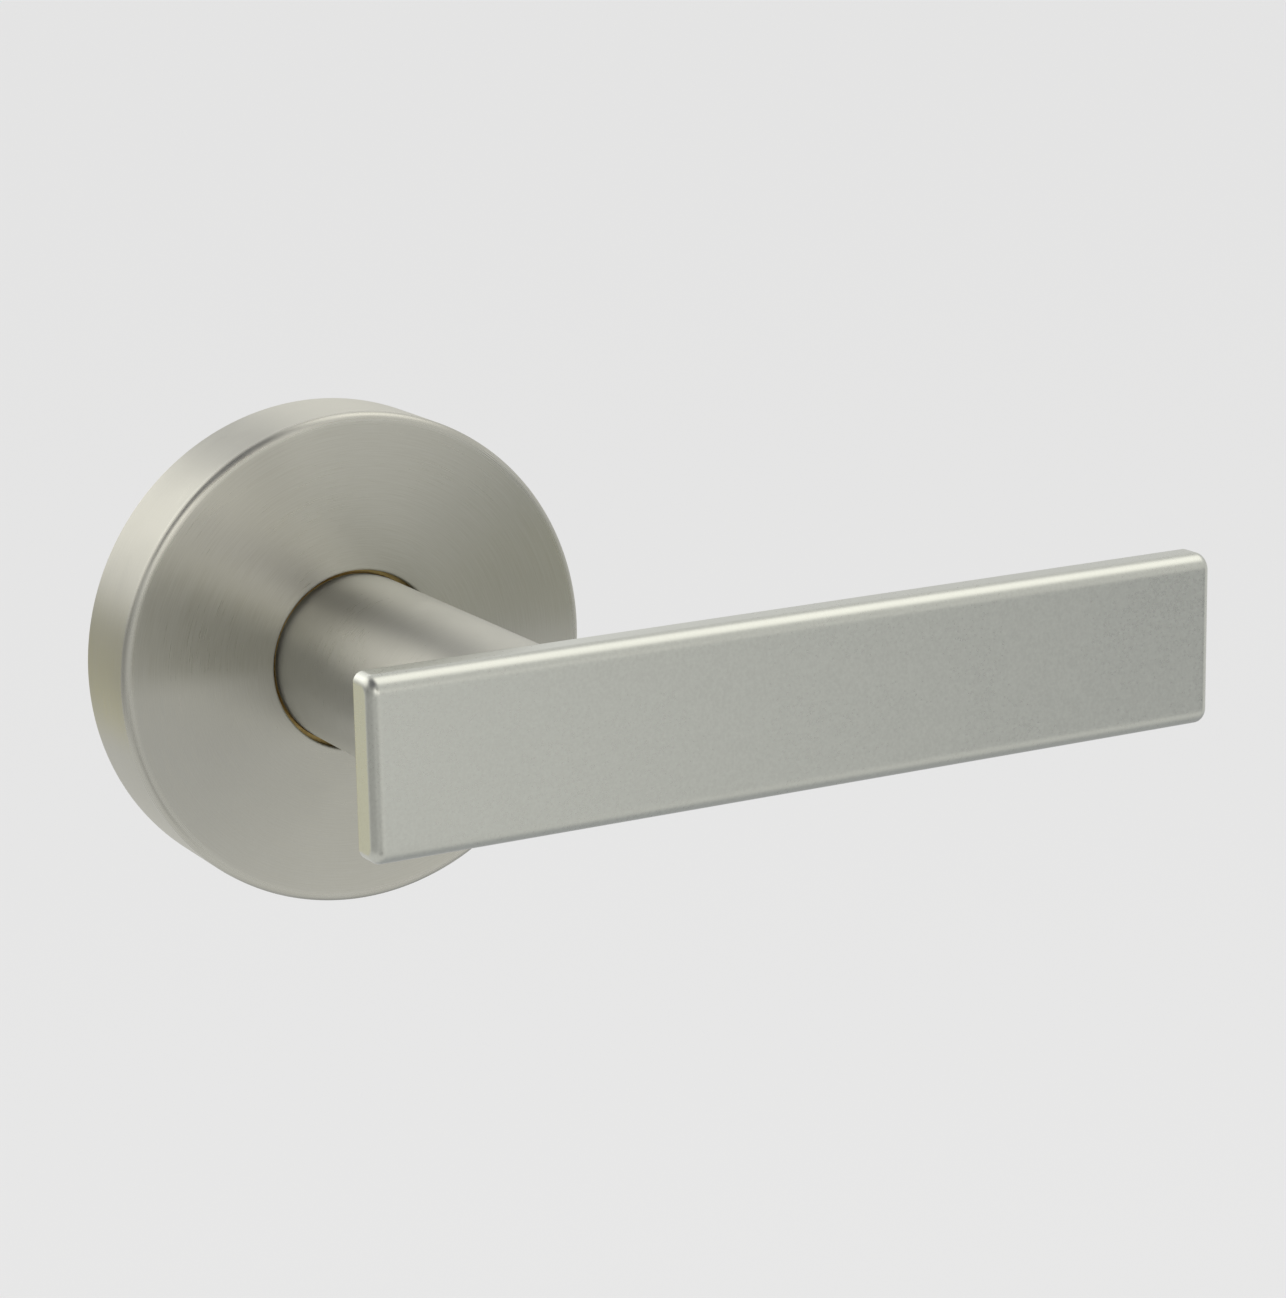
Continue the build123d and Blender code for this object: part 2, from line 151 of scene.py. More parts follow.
def emboss(tree, shader, value, height, strength):
    """Raises the surface by a noise value, to a height in millimetres."""
    bump = tree.nodes.new("ShaderNodeBump")
    bump.inputs["Strength"].default_value = strength
    bump.inputs["Distance"].default_value = height * MM
    tree.links.new(value, bump.inputs["Height"])
    tree.links.new(bump.outputs["Normal"], shader.inputs["Normal"])


die_cast_zinc, tree, shader = new_finish("die_cast_zinc")
cast_skin = even_grain(tree, 700, 6.0)
tint(tree, shader, cast_skin, (0.36, 0.37, 0.38), (0.47, 0.48, 0.49))
roughen(tree, shader, cast_skin, 0.40, 0.54, 90, 0.06)
emboss(tree, shader, cast_skin, 0.05, 0.5)
base_plate = finished(merged_copy("base_plate"), "base_plate", "base", die_cast_zinc)
ease_edges(base_plate, 0.18)


# Bearing bush: the flanged sleeve pressed into the boss, that the neck's journal turns in.
# It is pressed and sintered from bronze powder, so its skin is finely pored and holds oil.
def eased(points, rounding, steps=5, support=0.35):
    """A closed outline with its corners rounded: each corner becomes a parabola between points one rounding
    before and after it (less on short sides), and one more point a little further out keeps the flats flat.
    A rounding may be given for each corner, and 0 leaves that corner as it is."""
    corner = np.asarray(points, float)
    before = np.roll(corner, 1, axis=0) - corner
    after = np.roll(corner, -1, axis=0) - corner
    before_length = np.linalg.norm(before, axis=1, keepdims=True)
    after_length = np.linalg.norm(after, axis=1, keepdims=True)
    shared = 2.2  # two corners share a side and leave a little of it flat
    room = np.minimum(before_length, after_length) / (shared * (1 + support))
    reach = np.minimum(np.broadcast_to(np.asarray(rounding, float), len(corner))[:, None], room)
    start = before / before_length * reach
    end = after / after_length * reach
    s = np.linspace(0, 1, steps + 1)[None, :, None]
    arc = (1 - s) ** 2 * start[:, None] + s**2 * end[:, None]
    arc = np.concatenate([start[:, None] * (1 + support), arc, end[:, None] * (1 + support)], axis=1)
    return (corner[:, None] + arc).reshape(-1, 2)


def skin(name, points, closed_rows=False):
    """A mesh over a grid of points in millimetres, shaped (copies, rows, columns, 3). Columns run round and
    close on themselves, and rows do so where closed_rows says it. Rows that shrink to a point or a line are
    merged there. u runs round the columns and v along the rows, and all faces are turned outwards."""
    copies, rows, columns = points.shape[:3]
    index = np.arange(copies * rows * columns).reshape(copies, rows, columns)
    last = rows if closed_rows else rows - 1
    here = index[:, :last]
    along = np.roll(index, -1, axis=1)[:, :last]
    quads = np.stack([here, np.roll(here, -1, axis=2), np.roll(along, -1, axis=2), along], axis=-1)
    u = np.arange(columns) / columns
    v = np.arange(last) / last
    step_u, step_v = np.array([0, 1, 1, 0]) / columns, np.array([0, 0, 1, 1]) / last
    grid_u = u[None, :, None] + step_u[None, None, :] + 0 * v[:, None, None]
    grid_v = v[:, None, None] + step_v[None, None, :] + 0 * u[None, :, None]
    loop_uv = np.broadcast_to(np.stack([grid_u, grid_v], axis=-1), (copies, last, columns, 4, 2))
    mesh = bpy.data.meshes.new(name)
    mesh.from_pydata((points.reshape(-1, 3) * MM).tolist(), [], quads.reshape(-1, 4).tolist())
    layer = mesh.uv_layers.new(name="around")
    layer.data.foreach_set("uv", loop_uv.reshape(-1).astype(np.float32))
    shell = bmesh.new()
    shell.from_mesh(mesh)
    bmesh.ops.remove_doubles(shell, verts=shell.verts, dist=same_point)
    if shell.calc_volume(signed=True) < 0:
        bmesh.ops.reverse_faces(shell, faces=shell.faces)
    shell.to_mesh(mesh)
    shell.free()
    return mesh


def circles(radius, depth, centres=((0, 0),), sides=96):
    """Points on circles about lines along Y: each row has a radius and a depth out of the door, which may
    also differ from column to column. x = centre + radius cos(angle), y = -depth and
    z = centre + radius sin(angle)."""
    angle = np.arange(sides) * (2 * np.pi / sides)
    radius, depth = np.broadcast_arrays(np.asarray(radius, float), np.asarray(depth, float) + 0 * angle[None, :])
    centre = np.asarray(centres, float)[:, None, None]
    x = centre[..., 0] + radius * np.cos(angle)
    z = centre[..., 1] + radius * np.sin(angle)
    return np.stack([x, np.broadcast_to(-depth, x.shape), z], axis=-1)


def turned(name, outline, rounding, closed_rows=True, centres=((0, 0),), sides=96):
    """A turned piece: an outline of (radius, depth) corners, eased by a rounding and carried round the axis."""
    profile = eased(outline, rounding)
    return skin(name, circles(profile[:, :1], profile[:, 1:], centres, sides), closed_rows)


sintered_bronze, tree, shader = new_finish("sintered_bronze")
pores = even_grain(tree, 2600, 6.0)
tint(tree, shader, pores, (0.30, 0.18, 0.075), (0.56, 0.37, 0.17))
roughen(tree, shader, pores, 0.36, 0.58, 120, 0.05)
emboss(tree, shader, pores, 0.03, 0.6)
bush_bore, bush_radius, flange_radius = 7.34, 8.8, 10.4
bush_back, flange_back, flange_front = 2.6, 8.2, 9.2
bush_outline = [
    (bush_bore, bush_back), (bush_radius, bush_back), (bush_radius, flange_back),
    (flange_radius, flange_back), (flange_radius, flange_front), (bush_bore, flange_front),
]
bush_mesh = turned("bearing_bush_finish", bush_outline, (0.3, 0.3, 0.05, 0.15, 0.2, 0.3))
bearing_bush = finished(bush_mesh, "bearing_bush", "base", sintered_bronze)


# Thrust washer: the slip ring between the bush's flange and the drive plate, punched from acetal sheet.
# It lies loose on the flange. The plastic is milky white and lets a little light into it.
def ring_corners(inner, outer, back, front):
    """The outline of a plain ring, or of a pin where inner is 0, as (radius, depth) corners."""
    return [(inner, back), (outer, back), (outer, front), (inner, front)]


acetal, tree, shader = new_finish("natural_acetal", metallic=0.0)
milkiness = even_grain(tree, 500)
tint(tree, shader, milkiness, (0.74, 0.73, 0.68), (0.81, 0.80, 0.76))
roughen(tree, shader, milkiness, 0.36, 0.46, 150, 0.04)
emboss(tree, shader, milkiness, 0.01, 0.4)
shader.inputs["Subsurface Weight"].default_value = 0.15
shader.inputs["Subsurface Scale"].default_value = 1.0 * MM
thrust_bore, thrust_front = 7.6, 9.6
thrust_outline = ring_corners(thrust_bore, flange_radius, flange_front, thrust_front)
thrust_mesh = turned("thrust_washer_finish", thrust_outline, 0.06)
thrust_washer = finished(thrust_mesh, "thrust_washer", "base", acetal)


# Stop pins and anchor pin: hardened steel pins pressed into blind holes in the base. Two end the lever's
# travel and one holds the spring. They are centreless ground, so their fine marks run round them.
def grain_along(tree, stretch, detail=3.0):
    """Noise on Object coordinates stretched by a scale for each of X, Y and Z, in features to the metre."""
    place = tree.nodes.new("ShaderNodeTexCoord")
    mapping = tree.nodes.new("ShaderNodeMapping")
    mapping.inputs["Scale"].default_value = stretch
    noise = tree.nodes.new("ShaderNodeTexNoise")
    noise.inputs["Scale"].default_value = 1.0
    noise.inputs["Detail"].default_value = detail
    tree.links.new(place.outputs["Object"], mapping.inputs["Vector"])
    tree.links.new(mapping.outputs["Vector"], noise.inputs["Vector"])
    return noise.outputs["Fac"]


def around(radius, degrees, sideways=0.0):
    """A place on the door's plane at a radius and an angle from +X towards +Z, moved sideways."""
    angle = math.radians(degrees)
    return (
        radius * math.cos(angle) - sideways * math.sin(angle),
        radius * math.sin(angle) + sideways * math.cos(angle),
    )


ground_steel, tree, shader = new_finish("ground_steel")
grinding = grain_along(tree, (300, 9000, 300))
tint(tree, shader, grinding, (0.40, 0.40, 0.41), (0.54, 0.54, 0.55))
roughen(tree, shader, grinding, 0.20, 0.34, 200, 0.03)
emboss(tree, shader, grinding, 0.004, 0.6)
finger_radius, finger_to_stop = 14.55, 2.9
straight_up, half_travel = 90, 22.5
stop_angle = half_travel + math.degrees(math.asin(finger_to_stop / finger_radius))
pin_radius, pin_foot, pin_top, pin_sides = 1.25, 1.5, 7.4, 48
pin_outline = ring_corners(0, pin_radius, pin_foot, pin_top)
pin_rounding = (0, 0.15, 0.3, 0)
stop_places = [
    around(finger_radius, straight_up - stop_angle),
    around(finger_radius, straight_up + stop_angle),
]
stop_mesh = turned("stop_pins_finish", pin_outline, pin_rounding, False, stop_places, pin_sides)
stop_pins = finished(stop_mesh, "stop_pins", "base", ground_steel)
anchor_angle, anchor_sideways = 292.5, 0.3
anchor_places = [around(finger_radius, anchor_angle, anchor_sideways)]
anchor_mesh = turned("spring_anchor_pin_finish", pin_outline, pin_rounding, False, anchor_places, pin_sides)
spring_anchor_pin = finished(anchor_mesh, "spring_anchor_pin", "base", ground_steel)


# Return spring: the torsion spring that lifts the lever, coiled from drawn spring wire round the boss.
# One leg is hooked on the anchor pin and the other bears on the drive plate's finger, so the coil winds up
# as the lever turns.
def tube(name, path, radius, sides=20):
    """A round wire along a path of points: circles square to the path, closed at both ends by a small dome.
    Each circle's two directions are the path's direction crossed with Y, and that crossed with the path."""
    path = np.asarray(path, float)
    heading = np.gradient(path, axis=0)
    heading /= np.linalg.norm(heading, axis=1, keepdims=True)
    side = np.cross(heading, (0.0, 1.0, 0.0))
    side /= np.linalg.norm(side, axis=1, keepdims=True)
    other = np.cross(side, heading)
    angle = np.arange(sides) * (2 * np.pi / sides)
    ring = np.cos(angle)[None, :, None] * side[:, None] + np.sin(angle)[None, :, None] * other[:, None]
    shrink = np.array([0.0, 0.5, 0.8, 0.95])[:, None, None]
    sink = np.array([0.0, 0.0, 0.06, 0.2])[:, None, None] * radius
    first = path[0] + heading[0] * sink + ring[:1] * radius * shrink
    final = path[-1] - heading[-1] * sink[::-1] + ring[-1:] * radius * shrink[::-1]
    middle = path[2:-2, None] + ring[2:-2] * radius
    return skin(name, np.concatenate([first, middle, final])[None])


# The coil is a helix about Y. At each of its ends a quarter circle turns the wire outwards, and a short
# straight leg follows.
wire_radius, coil_radius, bend_radius, leg_length = 0.7, 11.75, 2.3, 1.5
coil_turns, coil_pitch, coil_start = 1.5, 2.1, 5.525
coil_points, bend_points, leg_points = 320, 16, 7
turn = np.linspace(0, coil_turns, coil_points)[:, None]
coil_angle = np.radians(anchor_angle - 360 * turn)
coil = np.concatenate(
    [coil_radius * np.cos(coil_angle), -coil_start - coil_pitch * turn, coil_radius * np.sin(coil_angle)],
    axis=1,
)
coil_run = 2 * np.pi * coil_radius
ends = coil_angle[[0, -1]]
heading = np.concatenate([coil_run * np.sin(ends), 0 * ends - coil_pitch, -coil_run * np.cos(ends)], axis=1)
heading /= np.linalg.norm(heading, axis=1, keepdims=True)
outward = np.concatenate([np.cos(ends), 0 * ends, np.sin(ends)], axis=1)
quarter = np.linspace(math.pi / 2, 0, bend_points)[:, None]
first_bend = coil[0] + bend_radius * (outward[0] * (1 - np.cos(quarter)) - heading[0] * np.sin(quarter))
last_bend = coil[-1] + bend_radius * (outward[1] * (1 - np.cos(quarter)) + heading[1] * np.sin(quarter))
leg = np.linspace(1, 0, leg_points)[:-1, None] * leg_length
first_leg = first_bend[0] + leg * outward[0]
last_leg = last_bend[0] + leg[::-1] * outward[1]
wire_path = np.concatenate([first_leg, first_bend[:-1], coil, last_bend[-2::-1], last_leg])
drawn_wire, tree, shader = new_finish("drawn_spring_wire")
drawing = even_grain(tree, 1500, 5.0)
tint(tree, shader, drawing, (0.17, 0.165, 0.16), (0.33, 0.325, 0.32))
roughen(tree, shader, drawing, 0.26, 0.42, 150, 0.05)
emboss(tree, shader, drawing, 0.01, 0.5)
spring_mesh = tube("return_spring_finish", wire_path, wire_radius)
return_spring = placed(spring_mesh, "return_spring", drawn_wire)
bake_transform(return_spring)


# Snap ring: the split wire ring in the groove round the base, sprung outwards into the rose to hold it.
# It is bent from the same drawn wire as the spring, a little thinner.
snap_radius, snap_depth, snap_wire_radius = 31.2, 2.25, 0.5
split_angle, snap_points, snap_sides = 10, 361, 16
snap_angle = np.radians(np.linspace(split_angle, 360, snap_points))[:, None]
snap_path = np.concatenate(
    [snap_radius * np.cos(snap_angle), 0 * snap_angle - snap_depth, snap_radius * np.sin(snap_angle)], axis=1
)
snap_mesh = tube("cover_snap_ring_finish", snap_path, snap_wire_radius, snap_sides)
cover_snap_ring = finished(snap_mesh, "cover_snap_ring", "base", drawn_wire)


# Lock washers: split spring washers under the machine screws' heads, wound from flat wire and cut.
# Under the tightened screws they lie flat, with the slit upwards.
def copies_at(points, centres):
    """Copies of a grid of points, one moved to each (x, z) centre on the door's plane."""
    return points[None] + np.array([(x, 0, z) for x, z in centres])[:, None, None]


# The wire's section is carried round from one side of the slit to the other, and shrinks to its middle there.
bolt_places = [(19.0, 0.0), (-19.0, 0.0)]
washer_bore, washer_radius, washer_back, washer_front = 2.8, 4.3, 4.5, 5.6
wire_middle = ((washer_bore + washer_radius) / 2, (washer_back + washer_front) / 2)
half_slit, washer_rows = 0.4, 90
slit = math.asin(half_slit / wire_middle[0])
washer_turn = np.linspace(math.pi / 2 + slit, math.pi / 2 + 2 * math.pi - slit, washer_rows)[:, None]
flat_wire = eased(ring_corners(washer_bore, washer_radius, washer_back, washer_front), 0.15)
cut_end = 0 * flat_wire + wire_middle
wire_section = np.stack([cut_end] + [flat_wire] * washer_rows + [cut_end])
section_radius, section_depth = wire_section[..., 0], wire_section[..., 1]
wire_turn = np.concatenate([washer_turn[:1], washer_turn, washer_turn[-1:]])
washer = np.stack(
    [section_radius * np.cos(wire_turn), -section_depth, section_radius * np.sin(wire_turn)], axis=-1
)
washer_mesh = skin("lock_washers_finish", copies_at(washer, bolt_places))
lock_washers = finished(washer_mesh, "lock_washers", "base", drawn_wire)


# Machine screws: two M5 pan-head screws that clamp the base through the door, cold-headed with a cross
# recess. The thread is rolled and starts at the door's face. They are bright zinc plated, faintly blue
# with straw stains.
def cut_away(mesh, cutter):
    """The mesh less a cutter's volume."""
    block = bpy.data.objects.new("block", mesh)
    knife = bpy.data.objects.new("knife", cutter)
    bpy.context.scene.collection.objects.link(block)
    bpy.context.scene.collection.objects.link(knife)
    cut = block.modifiers.new("cut", "BOOLEAN")
    cut.operation = "DIFFERENCE"
    cut.solver = "EXACT"
    cut.object = knife
    name = mesh.name
    mesh.name = name + "_uncut"
    result = bpy.data.meshes.new_from_object(block.evaluated_get(bpy.context.evaluated_depsgraph_get()))
    bpy.data.objects.remove(block)
    bpy.data.objects.remove(knife)
    bpy.data.meshes.remove(mesh)
    bpy.data.meshes.remove(cutter)
    result.name = name
    return result


def carried_out(section, rows):
    """Points of a section carried straight out of the door: each row has a depth and a scale, x and z are
    the section's points times the scale, and y = -depth."""
    depth, scale = np.asarray(rows, float).T[:, :, None]
    level = section * scale[..., None]
    return np.stack([level[..., 0], 0 * level[..., 0] - depth, level[..., 1]], axis=-1)


def cross(name, width, length, top, bottom, centres):
    """A cross-shaped cutter that narrows inwards: a plus-shaped outline a little above the top and a smaller
    one at the bottom, each closed to its middle."""
    overcut, narrowing = 0.2, 0.62
    w, r = width / 2, length / 2
    half_plus = np.array([(r, -w), (r, w), (w, w), (w, r), (-w, r), (-w, w)])
    plus = np.concatenate([half_plus, -half_plus])
    levels = [(top + overcut, 0), (top + overcut, 1), (bottom, narrowing), (bottom, 0)]
    return skin(name, copies_at(carried_out(plus, levels), centres))


def thread(tip, run_out, outer, root, pitch, sides=48, per_turn=9):
    """Radii and depths of a screw thread: a V of the pitch wound up the shank, with flats at crest and root.
    The radius is the outer one less the V's depth at (depth / pitch - angle / full turn), and the V fades
    to the outer radius over the last pitch."""
    rows = int((run_out - tip) / pitch * per_turn)
    depth = np.linspace(tip, run_out, rows)[:, None]
    winding = np.arange(sides)[None, :] / sides
    wave = np.abs(((depth / pitch - winding) % 1.0) * 2 - 1)
    fade = np.clip((run_out - depth) / pitch, 0, 1)
    steepness, crest = 1.25, 0.125
    radius = outer - (outer - root) * np.clip(wave * steepness - crest, 0, 1) * fade
    return radius, depth


def screw(name, thread_rows, head, head_rounding, centres, sides=48):
    """A screw: a point, the thread's rows and a turned head, closed at both ends."""
    radius, depth = thread_rows
    outline = eased(head, head_rounding)
    head_radius = np.repeat(outline[:, :1], sides, axis=1)
    all_radius = np.concatenate([np.zeros((1, sides)), radius, head_radius])
    all_depth = np.concatenate([depth[:1], depth, outline[:, 1:]])
    return skin(name, circles(all_radius, all_depth, centres, sides))


bright_zinc, tree, shader = new_finish("bright_zinc_plating")
plating = even_grain(tree, 260, 5.0)
tint(tree, shader, plating, (0.55, 0.58, 0.62), (0.66, 0.65, 0.60))
roughen(tree, shader, even_grain(tree, 2200), 0.22, 0.36, 140, 0.05)
emboss(tree, shader, plating, 0.01, 0.4)
bolt_tip, bolt_outer, bolt_root, bolt_pitch = -28.0, 2.5, 2.06, 0.8
point_radius, point_slope = 1.9, 0.9
bolt_shank, bolt_head_radius, bolt_top = 2.3, 4.6, 8.9
cross_width, bolt_cross_length, bolt_cross_floor = 1.2, 4.6, 7.3
screw_sharp_angle = 40
bolt_radius, bolt_depth = thread(bolt_tip, 0.0, bolt_outer, bolt_root, bolt_pitch)
bolt_radius = np.minimum(bolt_radius, point_radius + point_slope * (bolt_depth - bolt_tip))
bolt_head = [
    (bolt_outer, 0.0), (bolt_shank, 0.0), (bolt_shank, washer_front),
    (bolt_head_radius, washer_front), (bolt_head_radius, bolt_top), (0, bolt_top),
]
bolt_rounding = (0, 0.05, 0.1, 0.12, 1.4, 0)
bolt_mesh = screw("mounting_screws_finish", (bolt_radius, bolt_depth), bolt_head, bolt_rounding, bolt_places)
bolt_cross = cross("bolt_cross", cross_width, bolt_cross_length, bolt_top, bolt_cross_floor, bolt_places)
bolt_mesh = cut_away(bolt_mesh, bolt_cross)
mounting_screws = finished(
    bolt_mesh, "mounting_screws", "base", bright_zinc, screw_sharp_angle
)


# Wood screws: two countersunk screws that keep the base from turning on the door, one above the other.
# Cold-headed like the machine screws, with a coarse rolled thread to a point, and plated the same.
wood_places = [(0.0, 24.0), (0.0, -24.0)]
wood_tip, wood_run_out, wood_outer, wood_root, wood_pitch = -18.0, -1.0, 1.6, 1.1, 1.5
taper_length, point_share = 4.0, 0.02
countersink, wood_head_radius, wood_top = 2.3, 3.6, 4.3
wood_cross_length, wood_cross_floor = 3.4, 2.7
wood_radius, wood_depth = thread(wood_tip, wood_run_out, wood_outer, wood_root, wood_pitch)
wood_radius = wood_radius * np.clip((wood_depth - wood_tip) / taper_length, point_share, 1)
wood_head = [
    (wood_outer, wood_run_out), (wood_outer, countersink), (wood_head_radius, wood_top), (0, wood_top)
]
wood_mesh = screw("wood_screws_finish", (wood_radius, wood_depth), wood_head, (0, 0.3, 0.12, 0), wood_places)
wood_cross = cross("wood_cross", cross_width, wood_cross_length, wood_top, wood_cross_floor, wood_places)
wood_mesh = cut_away(wood_mesh, wood_cross)
wood_screws = finished(wood_mesh, "wood_screws", "base", bright_zinc, screw_sharp_angle)


# Spindle: the square bar that works the latch, cold-drawn steel with eased edges, cut to length and plated.
# It slides into the neck's square hole and runs on through the door.
plated_bar, tree, shader = new_finish("plated_drawn_bar")
die_lines = grain_along(tree, (2600, 35, 2600))
tint(tree, shader, die_lines, (0.50, 0.52, 0.55), (0.62, 0.62, 0.60))
roughen(tree, shader, die_lines, 0.24, 0.38, 120, 0.05)
emboss(tree, shader, die_lines, 0.008, 0.5)
half, flat_half = 4.0, 3.5
half_octagon = np.array([(half, flat_half), (flat_half, half), (-flat_half, half), (-half, flat_half)])
spindle_section = eased(np.concatenate([half_octagon, -half_octagon]), 0.12, steps=3)
# Each row's depth and its share of the full section: both ends are dressed to a small chamfer.
spindle_rows = [
    (-45, 0), (-45, 0.93), (-44.95, 0.945), (-44.6, 0.995), (-44.3, 1), (-20, 1), (5, 1),
    (35.7, 1), (35.95, 0.985), (36, 0.965), (36, 0),
]
spindle_mesh = skin("spindle_finish", carried_out(spindle_section, spindle_rows)[None])
spindle = finished(spindle_mesh, "spindle", "lever", plated_bar)


# Rose: the plain round cover over the base, drawn from stainless sheet and brushed while it spins, so its
# fine satin marks run in circles. It snaps over the wire ring and slides forward along the neck.
def turned_grain(tree, fine, slow=5.0, detail=3.0):
    """Noise whose marks run in circles about Y: it is read at (direction from the axis x slow, (radius - y) x
    fine), so that it changes fast across the marks and slowly round them. Gives the noise, and radius - y."""
    place = tree.nodes.new("ShaderNodeTexCoord")
    flat = tree.nodes.new("ShaderNodeVectorMath")
    flat.operation = "MULTIPLY"
    flat.inputs[1].default_value = (1, 0, 1)
    tree.links.new(place.outputs["Object"], flat.inputs[0])
    direction = tree.nodes.new("ShaderNodeVectorMath")
    direction.operation = "NORMALIZE"
    tree.links.new(flat.outputs["Vector"], direction.inputs[0])
    scaled = tree.nodes.new("ShaderNodeVectorMath")
    scaled.operation = "SCALE"
    scaled.inputs["Scale"].default_value = slow
    tree.links.new(direction.outputs["Vector"], scaled.inputs[0])
    radius = tree.nodes.new("ShaderNodeVectorMath")
    radius.operation = "LENGTH"
    tree.links.new(flat.outputs["Vector"], radius.inputs[0])
    parts = tree.nodes.new("ShaderNodeSeparateXYZ")
    tree.links.new(place.outputs["Object"], parts.inputs[0])
    across = tree.nodes.new("ShaderNodeMath")
    across.operation = "SUBTRACT"
    tree.links.new(radius.outputs["Value"], across.inputs[0])
    tree.links.new(parts.outputs["Y"], across.inputs[1])
    fast = tree.nodes.new("ShaderNodeMath")
    fast.operation = "MULTIPLY"
    fast.inputs[1].default_value = fine
    tree.links.new(across.outputs["Value"], fast.inputs[0])
    lifted = tree.nodes.new("ShaderNodeCombineXYZ")
    tree.links.new(fast.outputs["Value"], lifted.inputs["Y"])
    spot = tree.nodes.new("ShaderNodeVectorMath")
    spot.operation = "ADD"
    tree.links.new(scaled.outputs["Vector"], spot.inputs[0])
    tree.links.new(lifted.outputs["Vector"], spot.inputs[1])
    noise = tree.nodes.new("ShaderNodeTexNoise")
    noise.inputs["Scale"].default_value = 1.0
    noise.inputs["Detail"].default_value = detail
    tree.links.new(spot.outputs["Vector"], noise.inputs["Vector"])
    return noise.outputs["Fac"], across.outputs["Value"]


def polish(tree, shader, value, start, end, keep):
    """Multiplies the shader's roughness by a factor that falls from 1 to keep as a value goes from start to
    end."""
    factor = tree.nodes.new("ShaderNodeMath")
    factor.operation = "MULTIPLY"
    tree.links.new(shader.inputs["Roughness"].links[0].from_socket, factor.inputs[0])
    tree.links.new(spread(tree, value, 1.0, keep, start, end), factor.inputs[1])
    tree.links.new(factor.outputs["Value"], shader.inputs["Roughness"])


def comb(tree, shader, amount):
    """Stretches the shader's highlights square to marks that run along u, by an amount from 0 to 1."""
    square_to_u = 0.25
    direction = tree.nodes.new("ShaderNodeTangent")
    direction.direction_type = "UV_MAP"
    direction.uv_map = "around"
    shader.inputs["Anisotropic"].default_value = amount
    shader.inputs["Anisotropic Rotation"].default_value = square_to_u
    tree.links.new(direction.outputs["Tangent"], shader.inputs["Tangent"])


# The rounded front edge is rubbed a little smoother than the face: radius - y passes these two there.
rim_start, rim_end, rim_share = 43.6 * MM, 44.1 * MM, 0.85
spun_steel, tree, shader = new_finish("spun_stainless")
spin_marks, across = turned_grain(tree, 9000)
tint(tree, shader, spin_marks, (0.535, 0.525, 0.46), (0.58, 0.573, 0.51))
roughen(tree, shader, spin_marks, 0.28, 0.36, 60, 0.02)
polish(tree, shader, across, rim_start, rim_end, rim_share)
emboss(tree, shader, spin_marks, 0.002, 0.5)
comb(tree, shader, 1.0)
rose_radius, rose_front, rose_hole, rose_sides = 32.5, 12.6, 11.9, 256
inside_radius, inside_front = 31.5, 11.6
snap_groove = [
    (inside_radius, 2.992), (31.76, 2.82), (31.95, 2.53), (32.0, snap_depth), (31.95, 1.97), (31.76, 1.68),
    (inside_radius, 1.508),
]
rose_outline = [
    (rose_radius, 0.0), (rose_radius, rose_front), (rose_hole, rose_front), (rose_hole, inside_front),
    (inside_radius, inside_front), *snap_groove, (inside_radius, 0.0),
]
rose_rounding = [0.15, 1.2, 0.3, 0.1, 0.7] + [0.05] * len(snap_groove) + [0.1]
rose_profile = eased(rose_outline, rose_rounding, steps=8)
rose_grid = circles(rose_profile[:, :1], rose_profile[:, 1:], sides=rose_sides)
rose_mesh = skin("rose_cover_finish", rose_grid, True)
rose_cover = finished(rose_mesh, "rose_cover", "rose", spun_steel)


# Drive plate and brass ring: the pressed steel disc under the neck, with one finger bent back to load the
# spring and meet the stops, zinc plated and passivated yellow, and the thin turned ring of brass between it
# and the neck's shoulder. Both are all that shows in the gap between neck and rose.
yellow_zinc, tree, shader = new_finish("yellow_passivated_zinc")
passivation = even_grain(tree, 240, 5.0)
tint(tree, shader, passivation, (0.30, 0.21, 0.075), (0.44, 0.34, 0.15))
roughen(tree, shader, even_grain(tree, 2200), 0.28, 0.42, 140, 0.05)
emboss(tree, shader, passivation, 0.01, 0.4)
drive_mesh = merged_copy("drive_plate")
drive_plate = finished(drive_mesh, "drive_plate", "lever", yellow_zinc)
ease_edges(drive_plate, 0.12)
turned_brass, tree, shader = new_finish("turned_brass")
tool_marks, _ = turned_grain(tree, 6000)
tint(tree, shader, tool_marks, (0.50, 0.34, 0.12), (0.66, 0.48, 0.20))
roughen(tree, shader, tool_marks, 0.24, 0.36, 150, 0.04)
emboss(tree, shader, tool_marks, 0.003, 0.5)
neck_ring = finished(merged_copy("neck_ring"), "neck_ring", "lever", turned_brass)
ease_edges(neck_ring, 0.1)


# Drive pins: two ground dowels that key the drive plate and the brass ring to the neck.
# They are pressed through both into the neck's shoulder.
dowel_places = [(9.4, 0.0), (-9.4, 0.0)]
dowel_foot, dowel_end = 9.7, 15.4
dowel_outline = ring_corners(0, pin_radius, dowel_foot, dowel_end)
dowel_mesh = turned("drive_pins_finish", dowel_outline, pin_rounding, False, dowel_places, pin_sides)
drive_pins = finished(dowel_mesh, "drive_pins", "lever", ground_steel)


# Neck: the round stem that carries the bar, turned from stainless bar in one piece with its journal, its clip
# groove and the spigot that is pressed into the bar. It is broached square for the spindle, and drilled from
# below for the set screw. The turned marks are brushed out to a fine satin round the stem.
set_screw_out = 22.0


def from_below(points):
    """Lays a grid about the line along Y upright: depth then runs down from the spindle, at the set screw."""
    return points[..., [0, 2, 1]] + (0, -set_screw_out, 0)


